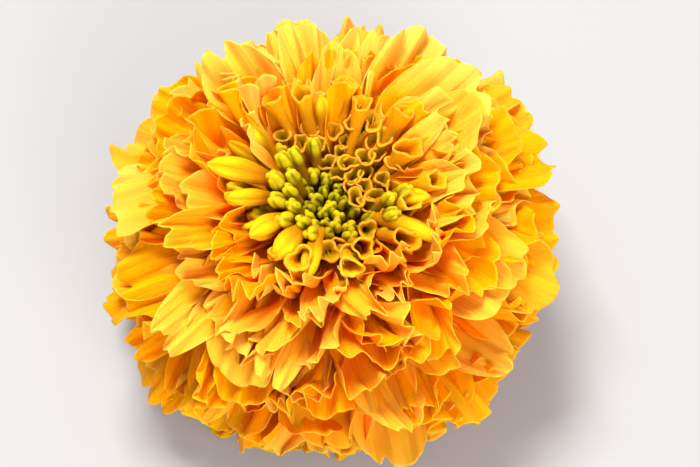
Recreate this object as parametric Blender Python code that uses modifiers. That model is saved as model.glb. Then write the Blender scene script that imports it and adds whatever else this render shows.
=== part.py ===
"""A picked double marigold head, standing on its cut stalk and the tips of its lowest petals.

Units are metres and +Z is up. The origin is on the table, under the middle of the head.
The florets stand in whorls round the receptacle: five of broad rays, one of rolled (quilled)
florets, and a bundle of young disc florets in the middle. Alternate whorls are turned by half
a step, so a petal lies over the gap between the two below it.
"""

import math
import random

import bmesh
import bpy
from mathutils import Matrix, Vector

MM = 0.001
SEED = 11

# Stalk: the short end left on a picked head, cut square.
STALK_RADIUS = 3.2 * MM
STALK_TOP_RADIUS = 4.4 * MM
STALK_HEIGHT = 5.2 * MM
GAP = 0.3 * MM
ROUND_SEGMENTS = 24

# Involucre: the green cup of fused bracts, from the stalk up to its teeth.
CUP_BOTTOM = STALK_HEIGHT + GAP
CUP_RADIUS = 12.6 * MM
CUP_HEIGHT = 12.0 * MM
CUP_BELLY_AT = 0.66
CUP_FULLNESS = 0.95
CUP_MOUTH_FLARE = 0.4 * MM
FLARE_FROM = 0.8
TOOTH_HEIGHT = 3.2 * MM
TEETH_FROM = 0.55
CUP_WALL = 0.9 * MM
BRACTS = 9
COLUMNS_PER_BRACT = 4
CUP_ROWS = 16

# Receptacle: the dome inside the cup that carries every floret.
DOME_RADIUS = 9.8 * MM
DOME_EDGE_Z = 12.6 * MM
DOME_HEIGHT = 9.4 * MM
DOME_UNDERSIDE = 4.2 * MM
DOME_ROWS = 12
FLORET_SEAT = 1.5 * MM

# Florets. A whorl gives where its florets stand on the dome, the place and heading of their
# tips, and the shape of the petal. Headings are measured from straight up, outwards.
PER_WHORL = 9
CLAW_RADIUS = 0.72 * MM
CLAW_ARC = math.radians(200)
QUILL_CLAW_RADIUS = 0.55 * MM
QUILL_ARC = math.radians(290)
PETAL_THICKNESS = 0.42 * MM
PETAL_SHARE = 0.74
UNROLLING = 0.85
FAN_FROM = 0.22
FAN_TO = 0.72
TIP_FROM = 0.8
TIP_NARROWING = 0.3
TIP_ROUNDING = 0.16
ACROSS = 4
ALONG = 10

RAY_WHORLS = (
    # name, stands at, leaves at, tip radius, tip height, tip heading, widest half, swing
    ("ray_outer", 8.6 * MM, 10, 36.0 * MM, 1.5 * MM, 158, 9.0 * MM, 2.5),
    ("ray_lower", 7.4 * MM, 9, 43.0 * MM, 16.0 * MM, 128, 10.0 * MM, 3.0),
    ("ray_middle", 6.2 * MM, 8, 46.0 * MM, 32.0 * MM, 102, 10.0 * MM, 3.0),
    ("ray_upper", 5.0 * MM, 8, 40.5 * MM, 48.0 * MM, 76, 9.5 * MM, 3.0),
    ("ray_inner", 3.8 * MM, 9, 29.0 * MM, 59.0 * MM, 48, 8.0 * MM, 3.0),
)
QUILLS = ("quilled", 2.6 * MM, 6, 17.0 * MM, 57.0 * MM, 28, 5.0 * MM, 1.0)
ROOT_HANDLE = 0.55
TIP_HANDLE = 0.40
HEIGHT_PLAY = 1.2 * MM

# Disc florets: the packed green middle, a fluted bundle of tubes with a bud on each. Its wall
# runs up inside the quilled florets as far as a share of their length.
BUNDLE_REACH = 0.80
BUNDLE_ROOM = 0.75 * MM
BUNDLE_WALL_ROWS = 0.7
BUNDLE_DISH = 2.2 * MM
BUNDLE_FLUTES = 9
BUNDLE_ROWS = 12
FLUTE_DEPTH = 0.35 * MM
FLUTE_FADE = 3.0 * MM
BUD_RADIUS = 1.35 * MM
BUD_LENGTH = 3.4 * MM
BUD_LEAN = math.radians(26)
BUD_INSET = 1.2 * BUD_RADIUS
BUD_COUNT = 26
GOLDEN_ANGLE = math.pi * (3 - math.sqrt(5))


def clear_scene():
    for obj in list(bpy.data.objects):
        bpy.data.objects.remove(obj, do_unlink=True)


def collection(name):
    made = bpy.data.collections.new(name)
    bpy.context.scene.collection.children.link(made)
    return made


def material(name, colour, roughness):
    made = bpy.data.materials.new(name)
    made.use_nodes = True
    shader = made.node_tree.nodes["Principled BSDF"]
    shader.inputs["Base Color"].default_value = (*colour, 1)
    shader.inputs["Roughness"].default_value = roughness
    shader.inputs["Metallic"].default_value = 0
    return made


def add_object(name, mesh_builder, finish):
    """A named object in the flower's collection, from a bmesh."""
    mesh = bpy.data.meshes.new(name)
    bmesh.ops.recalc_face_normals(mesh_builder, faces=mesh_builder.faces)
    mesh_builder.to_mesh(mesh)
    mesh_builder.free()
    mesh.materials.append(finish)
    mesh.shade_smooth()
    obj = bpy.data.objects.new(name, mesh)
    flower.objects.link(obj)
    return obj


def solidify(obj, thickness):
    wall = obj.modifiers.new("thickness", "SOLIDIFY")
    wall.thickness = thickness
    wall.offset = 0
    wall.use_even_offset = True


def ramp(x, low, high):
    """0 below low, 1 above high, and smooth between."""
    x = min(max((x - low) / (high - low), 0.0), 1.0)
    return x * x * (3 - 2 * x)


def dome_height(radius):
    return DOME_EDGE_Z + DOME_HEIGHT * (1 - (radius / DOME_RADIUS) ** 2)


def make_stalk(finish):
    """A short round stub, wider where it meets the cup."""
    stub = bmesh.new()
    bmesh.ops.create_cone(
        stub,
        cap_ends=True,
        segments=ROUND_SEGMENTS,
        radius1=STALK_RADIUS,
        radius2=STALK_TOP_RADIUS,
        depth=STALK_HEIGHT,
        matrix=Matrix.Translation((0, 0, STALK_HEIGHT / 2)),
    )
    obj = add_object("flower_stalk", stub, finish)
    obj.data.set_sharp_from_angle(angle=math.radians(40))
    return obj


def cup_point(turn, rise):
    """A point of the cup's middle surface. rise is 0 at the stalk and 1 at the tooth line."""
    belly = math.sin(min(rise / CUP_BELLY_AT, 1.0) * math.pi / 2)
    radius = CUP_RADIUS * belly + CUP_MOUTH_FLARE * ramp(rise, FLARE_FROM, 1)
    height = CUP_HEIGHT * (1 - math.cos(rise * math.pi / 2)) ** CUP_FULLNESS
    along = (turn / math.tau * BRACTS) % 1
    tooth = 1 - abs(2 * along - 1)
    height += TOOTH_HEIGHT * tooth * ramp(rise, TEETH_FROM, 1)
    bottom = CUP_BOTTOM + CUP_WALL / 2
    return Vector((radius * math.cos(turn), radius * math.sin(turn), bottom + height))


def make_involucre(finish):
    """The lower half of a sphere, pulled into a toothed cup."""
    cup = bmesh.new()
    bmesh.ops.create_uvsphere(
        cup, u_segments=BRACTS * COLUMNS_PER_BRACT, v_segments=CUP_ROWS, radius=1
    )
    above = [v for v in cup.verts if v.co.z > 1e-4]
    bmesh.ops.delete(cup, geom=above, context="VERTS")
    for v in cup.verts:
        rise = 1 - math.asin(min(max(-v.co.z, 0), 1)) / (math.pi / 2)
        v.co = cup_point(math.atan2(v.co.y, v.co.x), rise)
    obj = add_object("involucre", cup, finish)
    solidify(obj, CUP_WALL)
    return obj


def make_receptacle(finish):
    """A turned dome with a rounded underside, clear of the cup all round."""
    dome = bmesh.new()
    bmesh.ops.create_uvsphere(dome, u_segments=ROUND_SEGMENTS, v_segments=DOME_ROWS, radius=1)
    for v in dome.verts:
        across = Vector((v.co.x, v.co.y)) * DOME_RADIUS
        if v.co.z >= 0:
            height = dome_height(across.length)
        else:
            height = DOME_EDGE_Z + v.co.z * DOME_UNDERSIDE
        v.co = Vector((across.x, across.y, height))
    return add_object("receptacle", dome, finish)


def spine(whorl, lift):
    """The petal's middle line as a function of 0 to 1: radius and height, with its heading."""
    _, stands_at, leaves, tip_radius, tip_height, heading, _, _ = whorl
    root = Vector((stands_at, dome_height(stands_at - 2 * CLAW_RADIUS) + FLORET_SEAT))
    tip = Vector((tip_radius, tip_height + lift))
    reach = (tip - root).length
    leave = Vector((math.sin(math.radians(leaves)), math.cos(math.radians(leaves))))
    arrive = Vector((math.sin(math.radians(heading)), math.cos(math.radians(heading))))
    rising = root + leave * reach * ROOT_HANDLE
    falling = tip - arrive * reach * TIP_HANDLE

    def at(t):
        s = 1 - t
        place = root * s**3 + rising * 3 * s * s * t + falling * 3 * s * t * t + tip * t**3
        way = (rising - root) * s * s + (falling - rising) * 2 * s * t + (tip - falling) * t * t
        return place, way.normalized()

    return at


def half_width(whorl, claw, radius, t):
    """Half the petal's width, measured along its curl: a narrow claw, then a fan, then a round end."""
    widest = whorl[6]
    fan = min(PETAL_SHARE * math.pi * radius / PER_WHORL, widest)
    opening = ramp(t, FAN_FROM, FAN_TO)
    closing = 1 - TIP_NARROWING * ramp(t, TIP_FROM, 1)
    return claw + max(fan - claw, 0) * opening * closing


def make_floret(whorl, number, turned, chance, finish, claw_radius, claw_arc, unrolling):
    """One floret: a flat grid curled round its middle line, then given its thickness."""
    name, swing = whorl[0], whorl[7]
    turn = math.tau * (number + turned) / PER_WHORL
    lean = math.radians(chance.uniform(-swing, swing))
    line = spine(whorl, chance.uniform(-HEIGHT_PLAY, HEIGHT_PLAY) if turned or number else 0)
    claw = claw_radius * claw_arc / 2
    sheet = bmesh.new()
    bmesh.ops.create_grid(sheet, x_segments=ACROSS, y_segments=ALONG, size=1)
    for v in sheet.verts:
        u = v.co.x
        t = (v.co.y + 1) / 2
        t *= 1 - TIP_ROUNDING * u * u * t * t
        place, way = line(t)
        half = half_width(whorl, claw, place.x, t)
        arc = claw_arc * (claw / half) ** unrolling
        bend = half / (arc / 2)
        side = bend * math.sin(u * arc / 2)
        depth = bend * (1 - math.cos(u * arc / 2))
        radius = place.x - way.y * depth
        height = place.y + way.x * depth
        angle = turn + lean * t
        out = Vector((math.cos(angle), math.sin(angle), 0))
        across = Vector((-math.sin(angle), math.cos(angle), 0))
        v.co = out * radius + across * side + Vector((0, 0, height))
    obj = add_object(f"{name}_{number + 1:02d}", sheet, finish)
    solidify(obj, PETAL_THICKNESS)
    return obj


def quill_bore(t):
    """The clear line inside the quilled florets, at a share t of their length."""
    place, way = spine(QUILLS, 0)(t)
    claw = QUILL_CLAW_RADIUS * QUILL_ARC / 2
    across = 2 * half_width(QUILLS, claw, place.x, t) / (QUILL_ARC / 2) + BUNDLE_ROOM
    return Vector((place.x - way.y * across, place.y + way.x * across))


def bundle_point(direction):
    """A sphere's point pulled into a fluted bundle: narrow at the dome, wide and dished on top."""
    turn = math.atan2(direction.y, direction.x)
    rise = math.asin(min(max(direction.z, -1), 1)) / math.pi + 0.5
    wall = quill_bore(BUNDLE_REACH * min(rise / BUNDLE_WALL_ROWS, 1))
    radius, height = wall
    if rise < 1e-4:
        radius = 0
    if rise > BUNDLE_WALL_ROWS:
        inward = (rise - BUNDLE_WALL_ROWS) / (1 - BUNDLE_WALL_ROWS)
        radius *= 1 - inward
        height -= BUNDLE_DISH * inward
    radius -= FLUTE_DEPTH * (1 + math.cos(BUNDLE_FLUTES * turn)) / 2 * min(radius / FLUTE_FADE, 1)
    return Vector((radius * math.cos(turn), radius * math.sin(turn), height))


def make_bud(number, finish):
    """One closed floret of the middle: an egg that leans away from the axis."""
    rim = quill_bore(BUNDLE_REACH)
    share = math.sqrt((number + 0.5) / BUD_COUNT)
    egg = bmesh.new()
    bmesh.ops.create_uvsphere(egg, u_segments=8, v_segments=6, radius=BUD_RADIUS)
    bmesh.ops.scale(egg, verts=egg.verts, vec=(1, 1, BUD_LENGTH / BUD_RADIUS / 2))
    height = rim.y - BUNDLE_DISH * (1 - share)
    stand = Matrix.Translation(((rim.x - BUD_INSET) * share, 0, height))
    lean = Matrix.Rotation(BUD_LEAN * share, 4, "Y")
    matrix = Matrix.Rotation(number * GOLDEN_ANGLE, 4, "Z") @ stand @ lean
    bmesh.ops.transform(egg, matrix=matrix, verts=egg.verts)
    bud = add_object(f"bud_{number + 1:02d}", egg, finish)
    flower.objects.unlink(bud)
    helpers.objects.link(bud)
    bud.hide_render = True
    bud.display_type = "WIRE"
    return bud


def make_disc(finish):
    """The young florets of the middle, whose tubes are packed into one bundle."""
    core = bmesh.new()
    bmesh.ops.create_uvsphere(
        core, u_segments=BUNDLE_FLUTES * 4, v_segments=BUNDLE_ROWS, radius=1
    )
    for v in core.verts:
        v.co = bundle_point(v.co)
    obj = add_object("disc_florets", core, finish)
    for number in range(BUD_COUNT):
        bud = make_bud(number, finish)
        join = obj.modifiers.new(f"join_{bud.name}", "BOOLEAN")
        join.operation = "UNION"
        join.object = bud
    return obj


def drop_to_table(obj):
    """Raises or lowers a petal so that its tip just rests on the table."""
    bpy.context.view_layer.update()
    graph = bpy.context.evaluated_depsgraph_get()
    shape = obj.evaluated_get(graph).to_mesh()
    obj.location.z -= min(v.co.z for v in shape.vertices)


def centre_on_origin(objects):
    """Moves the whole flower so that the middle of its box stands over the origin."""
    bpy.context.view_layer.update()
    graph = bpy.context.evaluated_depsgraph_get()
    corners = []
    for obj in objects:
        shape = obj.evaluated_get(graph)
        corners += [shape.matrix_world @ Vector(c) for c in shape.bound_box]
    middle = [(min(c[i] for c in corners) + max(c[i] for c in corners)) / 2 for i in (0, 1)]
    for obj in objects:
        obj.location.x -= middle[0]
        obj.location.y -= middle[1]


def build():
    chance = random.Random(SEED)
    orange = material("ray_petal", (0.86, 0.33, 0.005), 0.55)
    amber = material("quilled_petal", (0.80, 0.38, 0.008), 0.55)
    lime = material("disc_floret", (0.42, 0.38, 0.015), 0.5)
    green = material("involucre", (0.13, 0.24, 0.045), 0.5)
    pale = material("receptacle", (0.45, 0.52, 0.22), 0.6)
    stem = material("stalk", (0.16, 0.30, 0.06), 0.5)

    make_stalk(stem)
    make_involucre(green)
    make_receptacle(pale)
    for level, whorl in enumerate(RAY_WHORLS):
        for number in range(PER_WHORL):
            petal = make_floret(
                whorl, number, level % 2 / 2, chance, orange, CLAW_RADIUS, CLAW_ARC, UNROLLING
            )
            if level == 0:
                drop_to_table(petal)
    for number in range(PER_WHORL):
        make_floret(QUILLS, number, 0.5, chance, amber, QUILL_CLAW_RADIUS, QUILL_ARC, 0)
    make_disc(lime)
    centre_on_origin(list(flower.objects))


clear_scene()
flower = collection("marigold_flower")
helpers = collection("helpers")
helpers.hide_render = True
build()
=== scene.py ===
"""The looks of the picked marigold head: every floret as its own thin, ruffled petal.

The CAD model gives the whorls: where each ray and quilled floret stands, and where its tip is.
The florets between them stand on seats worked out from the same whorls. Lengths are in
millimetres until a mesh is made. On a floret, u runs across it, from -1 to 1, and v along it,
from 0 at its foot to 1 at its tip.
"""

import math

import bpy
import numpy as np
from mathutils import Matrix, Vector


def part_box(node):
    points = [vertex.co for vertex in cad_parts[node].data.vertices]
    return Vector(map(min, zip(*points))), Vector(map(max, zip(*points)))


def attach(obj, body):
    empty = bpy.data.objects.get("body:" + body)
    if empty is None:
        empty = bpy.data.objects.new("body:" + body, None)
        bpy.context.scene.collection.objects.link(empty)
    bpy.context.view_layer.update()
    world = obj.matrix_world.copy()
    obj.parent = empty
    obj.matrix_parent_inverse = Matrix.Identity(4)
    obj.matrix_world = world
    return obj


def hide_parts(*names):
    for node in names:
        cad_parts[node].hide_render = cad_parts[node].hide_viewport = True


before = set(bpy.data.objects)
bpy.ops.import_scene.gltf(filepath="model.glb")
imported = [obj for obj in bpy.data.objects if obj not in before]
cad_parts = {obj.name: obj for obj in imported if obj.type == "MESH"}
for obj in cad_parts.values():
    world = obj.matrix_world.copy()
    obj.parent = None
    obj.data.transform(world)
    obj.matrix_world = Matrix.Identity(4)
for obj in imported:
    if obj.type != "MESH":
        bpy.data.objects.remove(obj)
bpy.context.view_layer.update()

MM = 0.001
GOLDEN_ANGLE = math.pi * (3 - math.sqrt(5))

# Every floret has its own random numbers: from SEED, its kind and its number. A ray's kind is
# twice its level, and these are the others.
SEED = 7
STANDING_OUT_KIND = 33
QUILL_KIND = 55
CLUB_KIND = 77
FIST_KIND = 88
DISC_KIND = 99

# Whorls of the CAD model, outermost first, with the headings of their florets at the foot and at
# the tip, in degrees from straight up, outwards.
WHORLS = ("ray_outer", "ray_lower", "ray_middle", "ray_upper", "ray_inner", "quilled")
PER_WHORL = 9
LEAVES = (10, 9, 8, 8, 9, 6)
ARRIVES = (158, 128, 102, 76, 48, 28)

# How a CAD floret is read: half the width of its foot, how far out the foot reaches, a height
# above the foot from which the tip is the farthest point, and the size of the tip.
FOOT_HALF = 0.8
FOOT_REACH = 1.2
LOOK_FROM = 8
TIP_SIZE = 6

# The handles of a floret's curve, as shares of the distance from foot to tip, and the share of it
# from which it twists.
ROOT_HANDLE = 0.55
TIP_HANDLE = 0.40
TWISTS_FROM = 0.25

# The head's outside, near enough an ellipsoid, and the share of its size within which petals get
# the most painted shade.
HEAD_RADIUS = 45.0
HEAD_MIDDLE = 28.0
HEAD_RISE = 33.0
DEEP_INSIDE = 0.72

# Walls, and how many points a sheet or a tube has. A sheet is worked out on a finer grid than it
# is made with.
THICKNESS = 0.21
TUBE_WALL = 0.40
SPINE_STEPS = 40
FINE_ACROSS = 65
RAY_ACROSS = 33
CLAW_ROWS = 4
LIMB_ROWS = 13
TUBE_SIDES = 28
MARGIN_ALONG = 0.018
MARGIN_ACROSS = 0.03

# A petal's tip: where it begins, its fine crimps against its ruffles, and the outline of its end.
TIP_FROM = 0.72
CRIMP = 0.34
CRIMPS_MORE = 3.2
END_POWER = 2.6
NOTCH_HALF = 0.13
SHARP_FOLD = 7.0

# The power by which a tube's inner wall turns to the darker colour of its foot, a painted shade,
# and how petals are pressed up from the table.
INSIDE_SHADE_POWER = 3.0
FLOOR_CLEAR = 0.35
FLOOR_SOFT = 0.8

# A closed floret's head is some balls round its axis, by their number: this far out, for a head
# of the radius 1, with one more ball in the middle.
LOBE_OUT = {2: 0.40, 3: 0.45, 4: 0.50}
CORE = (0.0, 0.0, 0.12)
CORE_SIZE = 0.50
DOME_RINGS = 6
STALK_HALF = 0.8

# Disc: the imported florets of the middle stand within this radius, on a shallow hollow. A bud or
# a trumpet takes up a cell of this area, in square millimetres.
DISC_RADIUS = 15.6
DISC_HOLLOW = 4.6
BUD_CELL = 6.4
TRUMPET_CELL = 11.0
BUDS_WITHIN = 5.0
TRUMPETS_FROM = 11.0


def smooth(x):
    """0 up to 0, 1 from 1, and a smooth step between."""
    x = np.clip(x, 0, 1)
    return x * x * (3 - 2 * x)


def ramp(x, low, high):
    """0 below low, 1 above high, and smooth between."""
    return smooth((x - low) / (high - low))


# ---------------- seats, from the CAD model


def node_points(name):
    """The CAD node's vertices, in millimetres."""
    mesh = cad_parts[name].data
    points = np.empty(len(mesh.vertices) * 3)
    mesh.vertices.foreach_get("co", points)
    return points.reshape(-1, 3) / MM


def cad_seat(name):
    """Where a CAD floret stands: its azimuth, and the radius and height of its foot and tip."""
    points = node_points(name)
    radii = np.hypot(points[:, 0], points[:, 1])
    foot_radius = radii.min() + FOOT_HALF
    foot_height = points[radii < radii.min() + FOOT_REACH][:, 2].min()
    far = np.argmax(np.hypot(radii, points[:, 2] - foot_height - LOOK_FROM))
    middle = points[np.linalg.norm(points - points[far], axis=1) < TIP_SIZE].mean(axis=0)
    azimuth = math.atan2(middle[1], middle[0])
    return azimuth, (foot_radius, foot_height, radii[far], points[far, 2])


cad_seats = {
    f"{whorl}_{n + 1:02d}": cad_seat(f"{whorl}_{n + 1:02d}")
    for whorl in WHORLS
    for n in range(PER_WHORL)
}
whorl_places = np.array(
    [
        np.mean([cad_seats[f"{whorl}_{n + 1:02d}"][1] for n in range(PER_WHORL)], axis=0)
        for whorl in WHORLS
    ]
)


def place_at(level):
    """Foot radius and height, tip radius and height, and both headings, between whorls too."""
    levels = np.arange(len(WHORLS))
    places = [np.interp(level, levels, whorl_places[:, i]) for i in range(4)]
    headings = [np.interp(level, levels, h) for h in (LEAVES, ARRIVES)]
    return places + headings


def place_from(level, tip_r, tip_z, leaves, arrives):
    """The same six numbers for a floret that only has its foot at this level."""
    foot_r, foot_z = place_at(level)[:2]
    return [foot_r, foot_z, tip_r, tip_z, leaves, arrives]


# ---------------- shapes


def around(columns):
    """The angles of the columns of something round."""
    return np.linspace(0, math.tau, columns, endpoint=False)[None, :]


def turned(reach, turn, height):
    """Rings of points about the axis."""
    return np.stack([reach * np.cos(turn), reach * np.sin(turn), height + 0 * turn], axis=2)


def out_and_up(degrees):
    """The direction of a heading, in degrees from straight up, as a radius and a height."""
    return np.array([math.sin(math.radians(degrees)), math.cos(math.radians(degrees))])


def spine(azimuth, place, lean=0.0, twist=0.0, shares=None):
    """The floret's middle line, with its side and its inward normal, as arrays over v."""
    foot_r, foot_z, tip_r, tip_z, leaves, arrives = place
    shares = np.linspace(0, 1, SPINE_STEPS) if shares is None else shares
    v = shares[:, None]
    foot = np.array([foot_r, foot_z])
    tip = np.array([tip_r, tip_z])
    reach = np.linalg.norm(tip - foot)
    rising = foot + out_and_up(leaves) * reach * ROOT_HANDLE
    falling = tip - out_and_up(arrives) * reach * TIP_HANDLE
    s = 1 - v
    path = foot * s**3 + rising * 3 * s * s * v + falling * 3 * s * v * v + tip * v**3
    turn = azimuth + lean * v[:, 0] ** 2
    points = np.stack([path[:, 0] * np.cos(turn), path[:, 0] * np.sin(turn), path[:, 1]], axis=1)
    along = np.gradient(points, axis=0)
    along /= np.linalg.norm(along, axis=1, keepdims=True)
    side = np.stack([-np.sin(turn), np.cos(turn), np.zeros(len(turn))], axis=1)
    side -= along * np.sum(along * side, axis=1, keepdims=True)
    side /= np.linalg.norm(side, axis=1, keepdims=True)
    inward = np.cross(along, side)
    angle = (twist * ramp(v[:, 0], TWISTS_FROM, 1.0))[:, None]
    twisted_side = np.cos(angle) * side + np.sin(angle) * inward
    twisted_inward = np.cos(angle) * inward - np.sin(angle) * side
    return points, twisted_side, twisted_inward


def running_sum(values, step):
    """The integral along the second axis, which is 0 at its middle."""
    parts = (values[:, 1:] + values[:, :-1]) / 2 * step
    total = np.concatenate([np.zeros((len(values), 1)), np.cumsum(parts, axis=1)], axis=1)
    return total - total[:, [values.shape[1] // 2]]


def sample(grid, t, u):
    """Points of a grid at shares t of its rows and places u, from -1 to 1, of its columns."""
    rows, columns = grid.shape[:2]
    i = np.clip(t, 0, 1) * (rows - 1)
    j = (np.clip(u, -1, 1) + 1) / 2 * (columns - 1)
    i0 = np.minimum(i.astype(int), rows - 2)
    j0 = np.minimum(j.astype(int), columns - 2)
    fi = (i - i0)[..., None]
    fj = (j - j0)[..., None]
    upper = grid[i0, j0] * (1 - fj) + grid[i0, j0 + 1] * fj
    lower = grid[i0 + 1, j0] * (1 - fj) + grid[i0 + 1, j0 + 1] * fj
    return upper * (1 - fi) + lower * fi


def edged(count, edge):
    """Places from 0 to 1, of which the last two are only edge apart, for a narrow margin."""
    return np.append(np.linspace(0, 1 - edge, count - 1), 1.0)


def petal_sheet(line, form):
    """A grid of points for a petal: a rolled claw that opens into a pleated, ruffled limb.

    The fourth number of each point tells its folds: 1 on a crest and -1 in a groove. The material
    uses it for painted light on the crests and painted shade in the grooves.
    """
    points, side, inward = line
    t = np.linspace(0, 1, len(points))[:, None]
    u = np.linspace(-1, 1, FINE_ACROSS)[None, :]
    opens = form["opens"]
    half = form["claw"] + (form["half"] - form["claw"]) * ramp(t, opens, form["open"])
    half = half * (1 - form["taper"] * ramp(t, TIP_FROM, 1.05) ** 1.5)
    unrolled = ramp(t, opens, form["unrolled"])
    roll = form["claw_roll"] + (form["roll"] - form["claw_roll"]) * unrolled
    broad = np.sin(form["folds"] * math.pi * u + form["phase"])
    fine = np.sin(form["fine_folds"] * math.pi * u + form["fine_phase"] + form["drift"] * t)
    pleats = form["pleat"] * broad * ramp(t, opens + 0.05, form["pleated"]) ** 1.4
    pleats = pleats + form["fine_pleat"] * fine * ramp(t, opens + 0.1, 1.0)
    pleats = pleats * (1 - form["eases"] * ramp(t, TIP_FROM, 1.0))
    edge = form["edge"] * ramp(t, 0.5, 1.0) * np.sign(u) * np.abs(u) ** 4
    heading = pleats + edge
    heading = heading - heading.mean(axis=1, keepdims=True) + roll * u
    step = 2 / (FINE_ACROSS - 1)
    x = running_sum(np.cos(heading) * half, step)
    y = running_sum(np.sin(heading) * half, step)
    x = x - form["centre"] * x.mean(axis=1, keepdims=True)
    rise = np.clip((t - form["bends"]) / (1 - form["bends"]), 0, 1) ** 2
    ruffle = np.sin(form["ruffles"] * math.pi * u + form["ruffle_phase"])
    y = y + rise * (form["curl"] * (1 + form["skew"] * u) + form["ruffle"] * ruffle)
    crimp = np.sin((form["ruffles"] + CRIMPS_MORE) * math.pi * u + form["fine_phase"])
    y = y + CRIMP * form["ruffle"] * crimp * ramp(t, 0.70, 1.0)
    bulge = np.sin(form["bulges"] * math.pi * u + form["phase"])
    bulge = bulge * np.sin(form["swells"] * t + form["fine_phase"])
    y = y + form["bulge"] * bulge * ramp(t, opens, 0.75)
    sheet = points[:, None, :] + side[:, None, :] * x[..., None]
    sheet = sheet + inward[:, None, :] * y[..., None]
    # The folds' shading: 1 on a crest, where the material paints light, and -1 in a groove, where
    # it paints shade.
    crest = np.clip(-np.gradient(pleats, step, axis=1) / SHARP_FOLD, -1, 1)
    sheet = np.concatenate([sheet, crest[..., None]], axis=2)
    half_u = edged(RAY_ACROSS // 2 + 1, MARGIN_ACROSS)
    u = np.concatenate([-half_u[:0:-1], half_u])
    claw_v = np.linspace(0, opens, CLAW_ROWS, endpoint=False)
    v = np.concatenate([claw_v, opens + (1 - opens) * edged(LIMB_ROWS, MARGIN_ALONG)])
    lobe = 1 - np.abs(np.cos(form["lobes"] * math.pi / 2 * u + form["lobe_phase"])) ** 0.6
    corner = 1 - (1 - np.abs(u) ** END_POWER) ** (1 / END_POWER)
    back = form["round"] * corner + form["lobe"] * lobe
    back += form["notch"] * np.exp(-(((u - form["notch_at"]) / NOTCH_HALF) ** 2))
    place = v[:, None] * (1 - back[None, :] * v[:, None] ** 4)
    sheet = sample(sheet, place, np.broadcast_to(u, place.shape))
    return lifted(sheet), u, v


def lifted(sheet):
    """The same points, those near the table pressed up onto it."""
    above = sheet[..., 2] - FLOOR_CLEAR
    sheet[..., 2] = FLOOR_CLEAR + FLOOR_SOFT * np.logaddexp(0, above / FLOOR_SOFT)
    return sheet


def grid_normals(grid, periodic=False):
    """Unit normals of a grid of points."""
    down = np.gradient(grid, axis=0)
    if periodic:
        over = (np.roll(grid, -1, axis=1) - np.roll(grid, 1, axis=1)) / 2
    else:
        over = np.gradient(grid, axis=1)
    normal = np.cross(over, down)
    return normal / np.maximum(np.linalg.norm(normal, axis=2, keepdims=True), 1e-9)


def quads(rows, columns, start=0, periodic=False, flip=False):
    """Faces of a grid whose first vertex has the number start."""
    last = columns if periodic else columns - 1
    i, j = np.meshgrid(np.arange(rows - 1), np.arange(last), indexing="ij")
    a = start + i * columns + j
    b = start + i * columns + (j + 1) % columns
    face = np.stack([a, b, b + columns, a + columns], axis=-1).reshape(-1, 4)
    return face[:, ::-1] if flip else face


def closed(points, faces, u, v, rim, fold_shading):
    """What a piece is made from: its points and faces, its UV, and numbers for its material."""
    return {"points": points, "faces": faces, "u": u, "v": v, "rim": rim, "fold_shading": fold_shading}


def shell(petal, thickness):
    """A closed thin body on both sides of a sheet."""
    sheet, u, v = petal
    grid, fold_shading = sheet[..., :3], sheet[..., 3]
    rows, columns = fold_shading.shape
    normal = grid_normals(grid)
    u = np.broadcast_to(u, (rows, columns))
    v = np.broadcast_to(v[:, None], (rows, columns))
    margin = np.maximum(np.abs(u) ** 10, v**14)
    wall = (thickness / 2 * (1 - 0.45 * margin))[..., None]
    front = (grid + normal * wall).reshape(-1, 3)
    back = (grid - normal * wall).reshape(-1, 3)
    count = rows * columns
    faces = [quads(rows, columns), quads(rows, columns, start=count, flip=True)]
    number = np.arange(count).reshape(rows, columns)
    border = np.concatenate(
        [number[0, :-1], number[:-1, -1], number[-1, :0:-1], number[:0:-1, 0]]
    )
    following = np.roll(border, -1)
    faces.append(np.stack([border, border + count, following + count, following], axis=-1))
    rim = np.maximum(np.abs(u) > 0.999, v > 0.999).ravel()
    return closed(
        np.concatenate([front, back]),
        np.concatenate(faces).tolist(),
        np.tile(u.ravel(), 2),
        np.tile(v.ravel(), 2),
        np.tile(rim, 2),
        np.concatenate([fold_shading.ravel(), -fold_shading.ravel()]),
    )


def tube_shell(grid, v, thickness):
    """A closed thin-walled tube from rings of points, with v for each ring."""
    rows, columns = grid.shape[:2]
    normal = grid_normals(grid, periodic=True)
    v = np.broadcast_to(v, (rows, columns))
    u = np.broadcast_to(np.linspace(-1, 1, columns, endpoint=False), (rows, columns))
    wall = (thickness / 2 * (0.6 + 0.4 * v**3))[..., None]
    outer = (grid + normal * wall).reshape(-1, 3)
    inner = (grid - normal * wall).reshape(-1, 3)
    count = rows * columns
    faces = [
        quads(rows, columns, periodic=True),
        quads(rows, columns, start=count, periodic=True, flip=True),
    ]
    for row, flip in ((0, False), (rows - 1, True)):
        a = row * columns + np.arange(columns)
        b = row * columns + (np.arange(columns) + 1) % columns
        ring = np.stack([a, a + count, b + count, b], axis=-1)
        faces.append(ring[:, ::-1] if flip else ring)
    return closed(
        np.concatenate([outer, inner]),
        np.concatenate(faces).tolist(),
        np.tile(u.ravel(), 2),
        # The inner wall's v falls off faster, so that the tube's throat takes the dark foot colour
        # as painted shade.
        np.concatenate([v.ravel(), v.ravel() ** INSIDE_SHADE_POWER]),
        np.tile((v > 0.999).ravel(), 2),
        np.zeros(2 * count),
    )


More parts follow.
